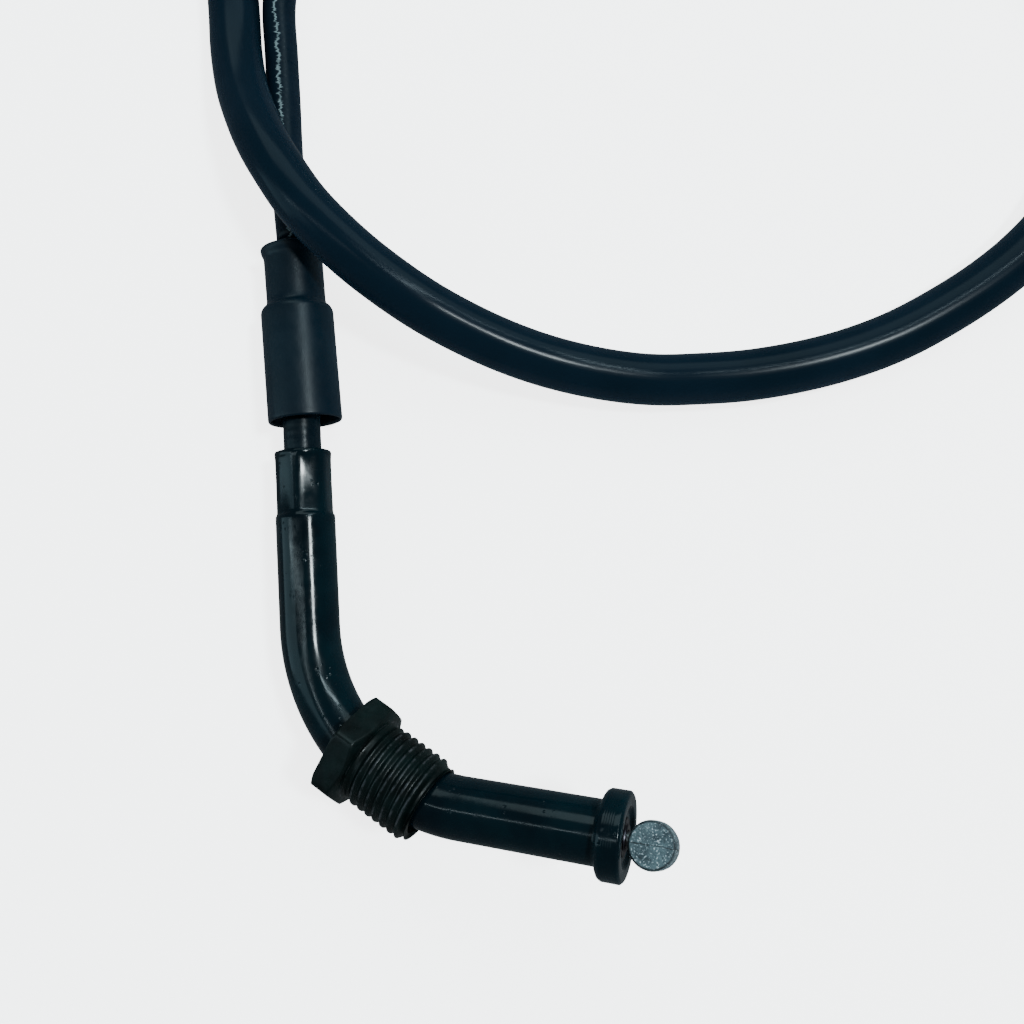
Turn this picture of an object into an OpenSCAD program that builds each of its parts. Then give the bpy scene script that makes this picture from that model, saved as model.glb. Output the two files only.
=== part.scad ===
// Throttle cable: bent steel elbow for the twist grip, conduit, and carburettor end.
// Millimetres, +Z up, the cable lies on the plane z = 0.

/* [Elbow pipe] */
// Outer diameter of the bent steel pipe
pipe_d = 8.3; // [7.9:0.1:8.4]
// Bore of the bent pipe
pipe_bore = 6.1; // [5.7:0.1:6.4]
// Radius of the bend along the pipe's centreline
bend_r = 25.2; // [25:0.1:32]
// Angle through which the pipe turns
bend_angle = 81; // [75:1:100]
// Straight pipe between the crimped socket and the bend
leg_len = 15.6; // [12:0.1:30]
// Straight pipe between the bend and the collar
arm_len = 18.9; // [15:0.1:30]
// Length of the crimped socket
crimp_len = 9.1; // [7:0.1:12]
// Width across the flats of the crimp
crimp_af = 7.3; // [7:0.1:7.8]
// Width across the rounded corners of the crimp
crimp_d = 7.9; // [7.7:0.1:8.2]
// Turn of the crimp's hexagon about the pipe
crimp_turn = 40; // [0:1:60]
// How far the arm leans up out of the plane the cable lies on
elbow_roll = 18; // [0:1:30]
// Rise of the pipe from the boot towards the gland nut, which props it up
leg_rise = 1.2; // [0:0.1:3]

/* [Collar] */
// Outer diameter of the collar on the end of the pipe
collar_d = 11.4; // [10.5:0.1:13]
// Thickness of the collar
collar_len = 3.3; // [3:0.1:6]

/* [Gland nut] */
// Outside diameter of the gland nut's thread
thread_d = 11.9; // [11.8:0.1:12.4]
// Pitch of the gland nut's thread
thread_pitch = 1.25; // [1:0.25:1.25]
// Number of ridges on the thread
thread_turns = 7; // [5:1:7]
// Width across the flats of the hexagon
nut_af = 14; // [14:0.5:17]
// Length of the hexagon
nut_hex_len = 3.7; // [3:0.1:4.5]
// Overall length of the nut
nut_len = 14; // [13.8:0.1:14.2]
// Bore of the nut
nut_bore = 9.9; // [9.8:0.05:10]
// Where the nut sits on the bend, from the socket's end
nut_angle = 55; // [40:1:62]
// Turn of the hexagon about its own axis
nut_roll = 6; // [0:1:60]

/* [Rubber boot] */
// Length of the boot
boot_len = 25.4; // [24:0.1:28]
// Diameter of the wide end
boot_d = 10.5; // [10.5:0.1:11.2]
// Diameter of the narrow end
boot_neck_d = 8.4; // [8.2:0.1:9.4]
// Length of the wide end
boot_wide_len = 16.6; // [15:0.1:18]
// Bare conduit between the crimp and the boot
boot_gap = 4.3; // [0:0.1:8]
// Lean of the loose boot against the conduit, in degrees
boot_lean = 2; // [0:0.5:2.5]

/* [Conduit and wire] */
// Outer diameter of the conduit
conduit_d = 4.9; // [4.6:0.1:4.9]
// Diameter of the inner wire
wire_d = 1.7; // [1.2:0.1:1.8]
// Outer diameter of the protective sleeve over the conduit
sleeve_d = 7.5; // [7:0.1:7.6]
// Diameter of the barrel nipple at the grip end
nipple_d = 6.1; // [5:0.1:6.4]
// Length of the barrel nipple at the grip end
nipple_len = 4.4; // [4:0.1:6]
// Tilt of the barrel nipple about the wire
nipple_roll = -14; // [-60:1:60]
// How far the barrel hangs off the wire's axis
nipple_drop = 0.4; // [0:0.1:0.6]

/* [Carburettor end] */
// Thread diameter of the adjuster tube
adjuster_d = 8; // [7.8:0.1:8]
// Length of the adjuster tube
adjuster_len = 36; // [34:1:38]
// Width across the flats of the lock nuts
lock_af = 12; // [11:0.5:12]
// Thickness of each lock nut
lock_len = 4; // [3:0.5:5]
// Bare wire between the adjuster and the small nipple
bare_wire = 30; // [28:1:34]

/* [Hidden] */
$fn = 64;
// The middle of the elbow, boot and nipple stands over the origin.
home = [-21.1, -10.8, 0];
// Height of the leg's axis where the tapered shoulder of the boot lies on the plane.
axis_z = boot_d / 2 - 0.1;
// Clearance of parts that only pass through one another.
gap = 0.05;
seam = 0.2;
// Marks on the leg, measured from the start of the bend.
crimp_y = leg_len;
crimp_top = crimp_y + crimp_len;
boot_y = crimp_top + boot_gap;
boot_top = boot_y + boot_len;
// The boot touches the plane at the shoulder of its wide end.
rest_y = boot_y + boot_wide_len;
run_y = boot_top + 0.9;
// The conduit and its layers stop just short of the bend.
inner_y = leg_len + 0.3;
// Short cone between the round pipe and the crimped hexagon.
crimp_taper = 0.8;
// Layers of the conduit, from the jacket inwards.
jacket_wall = 0.5;
armour_d = conduit_d - 2 * jacket_wall - 0.1;
armour_wall = 0.55;
liner_d = armour_d - 2 * armour_wall - 0.1;
liner_bore = wire_d + 0.3;
shrink_d = conduit_d + 0.4;
thread_depth = 0.55;
// The nut's axis lies inside the centreline, so the curved pipe clears its bore.
nut_shift = 0.33;
collar_lip = 1;
nipple_edge = 0.35;
guide_d = 4.7;
guide_flange = 0.7;
guide_len = 0.95;
band_len = 5;
band_wall = 0.6;
band_tilt = -2;
nipple_s = arm_len + collar_len + nipple_d / 2 + 0.2;
coil_r = 28;
coil_at = [23, 153.5];
coil_z = 3.2;
tie_wall = 0.7;
tie_width = 3.2;
tie_gap = 0.1;
// Angles of the ties round the coil, clear of the half turn that lies on top.
tie_at = [-20, 30];
// Head of a tie: how far it stands out, its height and the margin on each side of the strap.
tie_head = [2.6, 4, 0.6];
// Where the conduit ends inside the ferrule.
fit_at = [50, 181.5, 7];
ferrule_len = 12;
ferrule_d = 8.6;
ferrule_depth = 4;
// The adjuster begins inside the ferrule's face, and its hexagon carries the lever of a spanner.
adjuster_s = ferrule_len - ferrule_depth;
root_af = 10;
root_len = 4;
adjuster_pitch = 1;
adjuster_ridge = 0.5;
adjuster_thread_at = root_len + 1;
adjuster_turns = floor(adjuster_len - adjuster_thread_at - 1);
// Mouth of the adjuster, which holds the bush and the seal.
mouth_d = 4.6;
mouth_len = 7;
lock_at = [10, 17];
// The wire starts well inside the adjuster, so it still fills the mouth when it is drawn out.
wire_back = 12;
carb_nipple_d = 5;
carb_nipple_len = 6;
solder_depth = 1;

// Conduit from the boot, over the top of the loop, to the start of the sleeve.
thin_route = [
    [0, 55.3, 5], [-0.3, 60, 4.7], [-0.7, 65.6, 4], [-0.9, 71.2, 3.4], [-1, 77.8, 2.8],
    [-1.1, 85.2, 2.6], [-1.1, 92.7, 2.6], [0.5, 100.2, 2.6], [5.6, 107.7, 2.6], [14, 113.3, 2.6],
    [26.2, 116.6, 2.6], [40, 118, 2.6], [54, 118, 2.6], [68, 117, 2.6], [80, 114.8, 2.6],
    [91, 111.2, 2.6], [101, 105.8, 2.6], [109.4, 98.8, 2.6], [115.5, 90.6, 3.1],
    [118.6, 81.8, 3.8], [119, 73.1, 4.5]
];
// Sleeved length, from the far side of the loop, over the boot, to the coil's side.
sleeve_route = [
    [119, 73.1, 4.5], [117.9, 65.4, 4.4], [115.2, 58.5, 4.1], [110.9, 52.4, 3.9],
    [105.6, 47.5, 3.9], [99.6, 43.3, 3.9], [92.9, 39.6, 3.9], [86.2, 36.6, 3.9], [79.1, 34.4, 3.9],
    [72, 33, 3.9], [64.5, 32.2, 3.9], [57.5, 32.1, 3.9], [50.5, 32.4, 3.9], [43.5, 33.5, 4.5],
    [36.4, 35.3, 5.6], [29.9, 37.6, 7.2], [23.6, 40.6, 8.8], [17.7, 44.1, 10.4],
    [11.6, 48.8, 11.7], [6.9, 53.3, 12.5], [2.9, 58.1, 12.6], [-0.4, 63.6, 11.8],
    [-2.9, 68.6, 10.3], [-4.9, 73.8, 8.3], [-6.3, 78.7, 6.5], [-7.2, 84.6, 4.9], [-7.5, 90.8, 4],
    [-7.7, 98.3, 4.1], [-7.5, 104.9, 4.4], [-7.5, 112.4, 4.5]
];
// Bare conduit from the sleeve to the coil.
tail_route = [[-7.5, 112.4, 4.5], [-7.5, 121, 4], [-7.5, 131, 3.2], [-7.5, 140, 3.2], [-7.3, 148, 3.2]];
// Last half turn, on top of the coil, and out to the carburettor end.
exit_route = [
    [39.3, 133.9, 4.1], [31.8, 128.5, 6.2], [23, 125.9, 7.7], [13.4, 127.1, 8.2], [5, 132, 8.2],
    [-1.3, 139.5, 8.2], [-4.7, 148.6, 8.2], [-4.7, 158.4, 8.2], [-1.3, 167.5, 8.2], [5, 175, 8.2],
    [13.4, 179.9, 8.2], [22.4, 181.5, 8.2], [31, 181.5, 8.1], [39, 181.5, 7.8], [45.5, 181.5, 7.1],
    [50, 181.5, 7]
];

// ---- frames ----

// The elbow's own plane: the leg runs along +Y and the bend opens towards +X.
module in_elbow() {
    translate(home + [0, rest_y, axis_z])
        rotate([-leg_rise, 0, 0])
            translate([0, -rest_y, 0])
                rotate([0, -elbow_roll, 0])
                    children();
}

// A spot on the leg, with +Z pointing away from the bend.
module on_leg(y) {
    in_elbow()
        translate([0, y, 0])
            rotate([-90, 0, 0])
                children();
}

// A spot on the bend, with +Z pointing along the pipe towards the collar.
module on_bend(a) {
    in_elbow()
        translate([bend_r, 0, 0])
            rotate([0, 0, a])
                translate([-bend_r, 0, 0])
                    rotate([90, 0, 0])
                        children();
}

// A spot on the arm, with +Z pointing out through the collar.
module on_arm(s) {
    on_bend(bend_angle)
        translate([0, 0, s])
            children();
}

// A spot on the carburettor end, with +Z pointing along the wire.
module on_fitting(s) {
    translate(home + fit_at + [s, 0, 0])
        rotate([0, 90, 0])
            children();
}

// ---- shared shapes ----

module tube(d, bore, len) {
    difference() {
        cylinder(d = d, h = len);
        translate([0, 0, -1])
            cylinder(d = bore, h = len + 2);
    }
}

// Ring, or disc when it has no bore, swept round the bend.
module bent(d, bore = 0) {
    in_elbow()
        translate([bend_r, 0, 0])
            rotate([0, 0, 180])
                rotate_extrude(angle = bend_angle, $fn = 128)
                    translate([bend_r, 0])
                        difference() {
                            circle(d = d, $fn = 48);
                            if (bore > 0)
                                circle(d = bore, $fn = 48);
                        }
}

// Bent tube with straight ends on the leg and the arm, and a faint seam where the arm starts.
module bent_tube(d, bore, leg, arm) {
    on_leg(0)
        tube(d, bore, leg);
    bent(d, bore);
    on_arm(-seam)
        tube(d + seam / 5, bore - seam / 5, 2 * seam);
    on_arm(0)
        tube(d, bore, arm);
}

// Hexagonal bar whose corners are cut back by cones at its two ends.
module hex_bar(af, len, back, front) {
    corner = af / cos(30);
    slope = tan(30);
    intersection() {
        cylinder(d = corner, h = len, $fn = 6);
        rotate_extrude()
            polygon([
                [0, 0], [corner / 2 - back, 0], [corner / 2 + 0.1, (back + 0.1) * slope],
                [corner / 2 + 0.1, len - (front + 0.1) * slope], [corner / 2 - front, len], [0, len]
            ]);
    }
}

// Outline of one side of a ridged cylinder, from the axis outwards.
function ridges(r, depth, pitch, n, z) = [
    for (i = [0:n - 1], k = [0:3])
        [r - (k == 0 || k == 3 ? depth : 0), z + i * pitch + pitch * [0.1, 0.32, 0.68, 0.9][k]]
];

// ---- swept cords ----

function unit(v) = v / norm(v);
function heading(p, i) =
    i == 0 ? unit(p[1] - p[0])
    : i == len(p) - 1 ? unit(p[i] - p[i - 1])
    : unit(unit(p[i] - p[i - 1]) + unit(p[i + 1] - p[i]));
function ring(c, t, r, n) =
    let (side = unit(cross(t, [0, 0, 1])), up = cross(side, t))
    [for (k = [0:n - 1]) c + r * (cos(360 * k / n) * side + sin(360 * k / n) * up)];

// One closed tube along the points of a route.
module swept(route, d, n) {
    m = len(route);
    points = [for (i = [0:m - 1]) each ring(route[i], heading(route, i), d / 2, n)];
    sides = [
        for (i = [0:m - 2], k = [0:n - 1])
            [i * n + k, i * n + (k + 1) % n, (i + 1) * n + (k + 1) % n, (i + 1) * n + k]
    ];
    first = [for (k = [n - 1:-1:0]) k];
    last = [for (k = [0:n - 1]) (m - 1) * n + k];
    translate(home)
        polyhedron(points, concat([first], sides, [last]), convexity = 8);
}

// ---- elbow ----

// Bent steel pipe; its end is crimped to a rounded hexagon over the conduit.
module elbow_pipe() {
    color([0.03, 0.03, 0.035]) {
        bent_tube(pipe_d, pipe_bore, crimp_y - crimp_taper, arm_len + collar_len - collar_lip);
        on_leg(crimp_y - crimp_taper)
            difference() {
                union() {
                    cylinder(d1 = pipe_d, d2 = crimp_d - 0.4, h = crimp_taper);
                    translate([0, 0, crimp_taper - 0.1])
                        rotate([0, 0, crimp_turn])
                            intersection() {
                                cylinder(d = crimp_af / cos(30), h = crimp_len + 0.1, $fn = 6);
                                cylinder(d = crimp_d, h = crimp_len + 0.1);
                            }
                }
                translate([0, 0, -1])
                    cylinder(d = shrink_d + 2 * gap, h = crimp_len + 3);
                translate([0, 0, -1])
                    cylinder(d = pipe_bore, h = crimp_taper + 1);
            }
    }
}

// Nylon lining that keeps the wire off the steel round the bend.
module elbow_liner() {
    color([0.9, 0.9, 0.86])
        bent_tube(pipe_bore - 0.2, liner_bore + 0.1, leg_len, arm_len + collar_len - collar_lip - 0.2);
}

// Turned collar with a recessed face, brazed on the end of the pipe.
module pipe_collar() {
    r = collar_d / 2;
    seat = collar_len - collar_lip;
    color([0.03, 0.03, 0.035])
        on_arm(arm_len)
            rotate_extrude($fn = 96)
                polygon([
                    [pipe_d / 2 + 0.02, 0], [r - 0.4, 0], [r, 0.4], [r, collar_len - 0.4],
                    [r - 0.4, collar_len], [3.9, collar_len], [3.6, collar_len - 0.45],
                    [guide_d / 2 + gap, collar_len - 0.45], [guide_d / 2 + gap, seat],
                    [pipe_d / 2 + 0.02, seat]
                ]);
}

// Bush in the collar's face that the wire runs out of.
module wire_guide() {
    color([0.35, 0.33, 0.3])
        on_arm(arm_len + collar_len - collar_lip)
            difference() {
                union() {
                    cylinder(d = guide_d, h = guide_flange);
                    cylinder(d = 2 * wire_d, h = guide_len);
                }
                translate([0, 0, -1])
                    cylinder(d = wire_d + 0.2, h = guide_len + 2);
            }
}

// Shrink tube over the end of the conduit.
module shrink_tube() {
    color([0.05, 0.05, 0.055])
        on_leg(inner_y)
            tube(shrink_d, conduit_d + 0.06, crimp_len + boot_gap + 2);
}

// ---- conduit inside the boot and the socket ----

module conduit_jacket() {
    color([0.06, 0.06, 0.065])
        on_leg(inner_y)
            tube(conduit_d, conduit_d - 2 * jacket_wall, run_y - inner_y);
}

// Flat steel strip wound close into a tube.
module conduit_armour() {
    inner = armour_d / 2 - armour_wall;
    outer = armour_d / 2;
    turns = floor(run_y - inner_y - 0.7);
    color([0.6, 0.6, 0.62])
        on_leg(inner_y + 0.1)
            rotate_extrude($fn = 48)
                polygon(concat(
                    [[inner, 0]],
                    [for (i = [0:turns - 1], k = [0:3])
                        [outer - (k == 0 || k == 3 ? 0.12 : 0), i + [0, 0.1, 0.9, 1][k]]],
                    [[inner, turns]]
                ));
}

module conduit_liner() {
    color([0.92, 0.92, 0.9])
        on_leg(inner_y)
            tube(liner_d, liner_bore, run_y - inner_y);
}

// Length of the inner wire that stays inside the leg and the bend.
module bend_wire() {
    color([0.7, 0.7, 0.72]) {
        on_leg(0)
            cylinder(d = wire_d, h = run_y);
        bent(wire_d);
    }
}

// ---- gland nut ----

// Hexagon-headed threaded sleeve, loose on the pipe. The ridges are rings, not a helix.
module gland_nut() {
    r = thread_d / 2;
    root = r - thread_depth;
    first = nut_len - thread_turns * thread_pitch - 0.2;
    b = nut_bore / 2;
    color([0.03, 0.03, 0.035])
        on_bend(nut_angle)
            translate([nut_shift, 0, -nut_len / 2])
                difference() {
                    union() {
                        rotate([0, 0, nut_roll])
                            hex_bar(nut_af, nut_hex_len, 0.6, 1.4);
                        rotate_extrude($fn = 96)
                            polygon(concat(
                                [[0, 0.5], [root, 0.5]],
                                ridges(r, thread_depth, thread_pitch, thread_turns, first),
                                [[root, nut_len - 0.1], [root - 0.1, nut_len], [0, nut_len]]
                            ));
                    }
                    translate([0, 0, -1])
                        cylinder(d = nut_bore, h = nut_len + 2, $fn = 96);
                    translate([0, 0, -0.01])
                        cylinder(r1 = b + 0.4, r2 = b, h = 0.6, $fn = 96);
                    translate([0, 0, nut_len - 0.4])
                        cylinder(r1 = b, r2 = b + 0.2, h = 0.41, $fn = 96);
                }
}

// ---- boot ----

// Stepped rubber boot; its wide end is hollow so it can be pushed over the crimp. It sits
// loose on the conduit, so it leans sideways about its shoulder.
module rubber_boot() {
    wide = boot_d / 2;
    neck = boot_neck_d / 2;
    lip = neck + 0.4;
    hollow = pipe_d / 2 + 0.65;
    snug = conduit_d / 2 + 0.6;
    color([0.11, 0.14, 0.17])
        on_leg(rest_y)
            rotate([0, 0, elbow_roll])
                rotate([0, -boot_lean, 0])
                    translate([0, 0, -boot_wide_len])
                        rotate_extrude($fn = 96)
                            polygon([
                                [hollow, 0], [wide - 0.2, 0], [wide, 0.3],
                                [wide - 0.1, boot_wide_len - 0.6], [wide - 0.3, boot_wide_len - 0.1],
                                [neck + 0.1, boot_wide_len + 0.6], [neck, boot_wide_len + 1],
                                [neck, boot_len - 1.6], [lip, boot_len - 0.6], [lip, boot_len - 0.2],
                                [lip - 0.3, boot_len], [snug, boot_len],
                                [snug, boot_wide_len - 1.5], [hollow, boot_wide_len - 3.5]
                            ]);
}

// ---- moving wire at the grip end ----

// Length of the inner wire that travels in the straight arm.
module grip_wire() {
    color([0.7, 0.7, 0.72])
        on_arm(0.4)
            cylinder(d = wire_d, h = nipple_s - nipple_d / 2 + solder_depth - 0.4);
}

// Cast barrel nipple across the end of the wire, with the wire's soldered head recessed.
module grip_nipple() {
    r = nipple_d / 2;
    half = nipple_len / 2;
    color([0.5, 0.51, 0.52])
        on_arm(nipple_s)
            difference() {
                translate([-nipple_drop, 0, 0])
                    rotate([0, 0, nipple_roll])
                        rotate([90, 0, 0])
                            rotate_extrude($fn = 72)
                                polygon([
                                    [0, -half], [r - nipple_edge, -half], [r, nipple_edge * 2 - half],
                                    [r, half - nipple_edge * 2], [r - nipple_edge, half], [0, half]
                                ]);
                translate([0, 0, -r - 1])
                    cylinder(d = wire_d, h = 1 + solder_depth, $fn = 32);
            }
}

// ---- runs of conduit ----

module thin_run() {
    color([0.06, 0.06, 0.065])
        swept(thin_route, conduit_d, 10);
}

// PVC sleeve over the middle of the conduit.
module sleeved_run() {
    color([0.035, 0.035, 0.04])
        swept(sleeve_route, sleeve_d, 12);
}

module tail_run() {
    color([0.06, 0.06, 0.065])
        swept(tail_route, conduit_d, 10);
}

module exit_run() {
    color([0.06, 0.06, 0.065])
        swept(exit_route, conduit_d, 10);
}

// Stepped band that closes one end of the sleeve, with its narrow mouth towards +Y.
module sleeve_band() {
    inner = sleeve_d / 2 + 0.1;
    mouth = conduit_d / 2 + 0.3;
    rotate([band_tilt - 90, 0, 0])
        rotate_extrude($fn = 48)
            polygon([
                [inner, -band_len], [inner + band_wall - 0.1, -band_len],
                [inner + band_wall - 0.1, 0.8], [mouth + 0.5, 3.4], [mouth + 0.5, band_len],
                [mouth, band_len], [mouth, 0.9], [inner, 0.9]
            ]);
}

// Shrink bands at both ends of the sleeve.
module sleeve_bands() {
    color([0.04, 0.04, 0.045])
        for (i = [0, len(sleeve_route) - 1])
            translate(home + sleeve_route[i])
                sleeve_band();
}

// Outer shape of two turns of conduit side by side.
module conduit_coil() {
    w = conduit_d;
    h = conduit_d / 2;
    color([0.06, 0.06, 0.065])
        translate(home + [coil_at[0], coil_at[1], coil_z])
            rotate_extrude($fn = 96)
                translate([coil_r, 0])
                    polygon([
                        [-w, -h * 0.5], [-w * 0.85, -h], [w * 0.85, -h], [w, -h * 0.5],
                        [w, h * 0.5], [w * 0.85, h], [-w * 0.85, h], [-w, h * 0.5]
                    ]);
}

// One cable tie round both turns, with its locking head on the outside.
module coil_tie() {
    w = 2 * conduit_d + 2 * tie_gap;
    h = conduit_d + tie_gap;
    rotate([90, 0, 0])
        translate([0, 0, -tie_width / 2]) {
            linear_extrude(tie_width)
                difference() {
                    square([w + 2 * tie_wall, h + 2 * tie_wall], center = true);
                    square([w, h], center = true);
                }
            translate([w / 2 + tie_wall, -tie_head[1] / 2, -tie_head[2]])
                cube([tie_head[0], tie_head[1], tie_width + 2 * tie_head[2]]);
        }
}

module coil_ties() {
    color([0.08, 0.08, 0.08])
        for (a = tie_at)
            translate(home + [coil_at[0], coil_at[1], coil_z])
                rotate([0, 0, a])
                    translate([coil_r, 0, 0])
                        coil_tie();
}

// ---- carburettor end ----

// Pressed cap that the conduit ends in, with a rolled groove behind its shoulder.
module carb_ferrule() {
    r = ferrule_d / 2;
    back = r - 0.2;
    groove = r - 0.7;
    color([0.72, 0.72, 0.74])
        on_fitting(-ferrule_depth)
            difference() {
                rotate_extrude($fn = 64)
                    polygon([
                        [0, 0], [back - 0.3, 0], [back, 0.4], [back, 3.4], [groove, 3.8],
                        [groove, 4.6], [r, 5], [r, ferrule_len - 0.4], [r - 0.4, ferrule_len],
                        [0, ferrule_len]
                    ]);
                translate([0, 0, -1])
                    cylinder(d = conduit_d + 0.4, h = ferrule_depth + 1);
                translate([0, 0, ferrule_depth - 1])
                    cylinder(d = wire_d + 0.4, h = ferrule_len);
            }
}

// Threaded adjuster tube with a hexagon at its root. The ridges are rings.
module adjuster_tube() {
    r = adjuster_d / 2;
    root = r - adjuster_ridge;
    color([0.75, 0.75, 0.77])
        on_fitting(adjuster_s)
            difference() {
                union() {
                    hex_bar(root_af, root_len, 0.6, 0.6);
                    rotate_extrude($fn = 64)
                        polygon(concat(
                            [[0, 0.5], [root, 0.5]],
                            ridges(r, adjuster_ridge, adjuster_pitch, adjuster_turns, adjuster_thread_at),
                            [[root, adjuster_len - 0.4], [root - 0.4, adjuster_len], [0, adjuster_len]]
                        ));
                }
                translate([0, 0, -1])
                    cylinder(d = wire_d + 0.4, h = adjuster_len + 2);
                translate([0, 0, adjuster_len - mouth_len])
                    cylinder(d = mouth_d, h = mouth_len + 1);
            }
}

// Nylon bush in the mouth of the adjuster.
module adjuster_bush() {
    color([0.9, 0.9, 0.86])
        on_fitting(adjuster_s + adjuster_len - mouth_len + gap)
            tube(mouth_d - 2 * gap, wire_d + 0.2, mouth_len - 1.6);
}

// Rubber seal that keeps dirt off the wire.
module dust_seal() {
    lip = wire_d / 2 + 0.15;
    color([0.1, 0.1, 0.1])
        on_fitting(adjuster_s + adjuster_len - 1.4)
            rotate_extrude($fn = 48)
                polygon([
                    [lip, 0], [2.2, 0], [2.2, 1.5], [3.2, 1.5], [3.2, 2.8], [2.4, 3.4],
                    [lip + 0.5, 5], [lip, 5]
                ]);
}

// Hexagonal lock nut on the adjuster's thread.
module lock_nut(s) {
    color([0.75, 0.75, 0.77])
        on_fitting(adjuster_s + s)
            difference() {
                hex_bar(lock_af, lock_len, 0.8, 0.8);
                translate([0, 0, -1])
                    cylinder(d = adjuster_d + 0.1, h = lock_len + 2);
            }
}

module lock_nut_rear() {
    lock_nut(lock_at[0]);
}

module lock_nut_front() {
    lock_nut(lock_at[1]);
}

// Length of the inner wire that travels in the adjuster.
module carb_wire() {
    color([0.7, 0.7, 0.72])
        on_fitting(adjuster_s + adjuster_len - wire_back)
            cylinder(d = wire_d, h = wire_back + bare_wire + solder_depth);
}

// Barrel nipple at the carburettor, lying along the wire.
module carb_nipple() {
    r = carb_nipple_d / 2;
    color([0.5, 0.51, 0.52])
        on_fitting(adjuster_s + adjuster_len + bare_wire)
            difference() {
                rotate_extrude($fn = 48)
                    polygon([
                        [0, 0], [r - 0.3, 0], [r, 0.3], [r, carb_nipple_len - 0.3],
                        [r - 0.3, carb_nipple_len], [0, carb_nipple_len]
                    ]);
                translate([0, 0, -1])
                    cylinder(d = wire_d, h = 1 + solder_depth, $fn = 32);
            }
}

elbow_pipe();
elbow_liner();
pipe_collar();
wire_guide();
shrink_tube();
conduit_jacket();
conduit_armour();
conduit_liner();
bend_wire();
gland_nut();
rubber_boot();
grip_wire();
grip_nipple();
thin_run();
sleeved_run();
sleeve_bands();
tail_run();
exit_run();
conduit_coil();
coil_ties();
carb_ferrule();
adjuster_tube();
adjuster_bush();
dust_seal();
lock_nut_rear();
lock_nut_front();
carb_wire();
carb_nipple();
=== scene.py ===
"""Throttle cable with a bent elbow: camera, cords, detailed pieces, materials and light."""
import math

import bpy
from mathutils import Matrix, Vector, noise


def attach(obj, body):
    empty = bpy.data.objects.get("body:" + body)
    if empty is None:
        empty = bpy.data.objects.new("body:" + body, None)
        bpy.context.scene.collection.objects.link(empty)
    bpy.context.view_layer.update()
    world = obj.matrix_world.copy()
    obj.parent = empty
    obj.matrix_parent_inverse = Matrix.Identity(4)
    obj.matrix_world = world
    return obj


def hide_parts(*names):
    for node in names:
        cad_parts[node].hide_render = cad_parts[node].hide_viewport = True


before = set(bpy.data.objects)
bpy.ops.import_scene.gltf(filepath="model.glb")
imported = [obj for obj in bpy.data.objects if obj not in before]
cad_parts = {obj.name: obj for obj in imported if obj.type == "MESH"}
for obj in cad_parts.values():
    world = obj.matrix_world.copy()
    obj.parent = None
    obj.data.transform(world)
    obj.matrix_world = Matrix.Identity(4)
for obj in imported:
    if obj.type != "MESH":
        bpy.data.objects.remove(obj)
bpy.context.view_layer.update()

MM = 0.001

# ---- sizes and places, in millimetres and degrees, mostly those of the CAD model ----

HOME = Vector((-21.1, -10.8, 0))
PIPE_D, BEND_R, BEND_ANGLE = 8.3, 25.2, 81
LEG_LEN, ARM_LEN, CRIMP_LEN = 15.6, 18.9, 9.1
CRIMP_AF, CRIMP_D, CRIMP_TURN = 7.3, 7.9, 20
ELBOW_ROLL, LEG_RISE = 18, 1.2
COLLAR_D, COLLAR_LEN = 11.4, 3.3
THREAD_D, THREAD_DEPTH, PITCH = 11.95, 0.42, 1.25  # crests a touch proud of the CAD's
NUT_AF, NUT_HEX_LEN, NUT_LEN, NUT_BORE = 14.0, 3.7, 14.0, 9.9
NUT_ANGLE, NUT_SHIFT, NUT_ROLL = 55, 0.33, 6
BOOT_D, NECK_D, BOOT_LEN, WIDE_LEN, BOOT_GAP, BOOT_LEAN = 10.5, 8.4, 25.4, 16.6, 4.3, 2
CONDUIT_D, SLEEVE_D, WIRE_D = 4.9, 7.5, 1.7
SHRINK_D = CONDUIT_D + 0.4
NIPPLE_D, NIPPLE_LEN, NIPPLE_ROLL, NIPPLE_DROP = 6.1, 4.4, -14, 0.4
REST_Y = LEG_LEN + CRIMP_LEN + BOOT_GAP + WIDE_LEN
AXIS_Z = BOOT_D / 2 - 0.1
NIPPLE_S = ARM_LEN + COLLAR_LEN + NIPPLE_D / 2 + 0.2
GUIDE_D, GUIDE_FLANGE, GUIDE_LEN = 4.7, 0.7, 0.95
FIT_AT = Vector((50, 181.5, 7))
FERRULE_D, FERRULE_LEN, FERRULE_DEPTH = 8.6, 12, 4
FERRULE_OUT = FERRULE_LEN - FERRULE_DEPTH
ADJUSTER_D, ADJUSTER_LEN, ADJUSTER_PITCH, ADJUSTER_RIDGE = 8, 36, 1, 0.5
ROOT_AF, ROOT_LEN, MOUTH_D = 10, 4, 4.6
LOCK_AF, LOCK_LEN, LOCK_AT = 12, 4, (10, 17)
BARE_WIRE, WIRE_BACK, LEAD_D, LEAD_LEN = 30, 12, 5, 6
BAND_LEN, BAND_WALL, BAND_TILT = 5, 0.5, -2
TIE_AT, TIE_WALL, TIE_WIDTH = (-20, 30), 0.7, 3.2
WIRE_TWIST = 0.45  # turn of the strand in radians a millimetre
STRIP_PITCH = 0.0011  # of the wound strip that shows through the jacket, in metres
HIGHLIGHT_LINE_AT = 0.25  # where the painted highlight line runs round the conduit, as a share of a turn
COIL_AT, COIL_Z, OUTER_TURN, INNER_TURN = Vector((23, 153.5)), 3.2, 30.5, 25.5
COIL_STEP, COIL_SWEEP = 10, 810
INWARD_FROM, INWARD_OVER = 250, 80  # where the second turn moves inside the first
CLIMB_FROM, CLIMB_OVER, CLIMB_OUT, CLIMB_UP = 580, 60, 2.45, 5.0  # where the last half turn climbs on top

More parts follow.
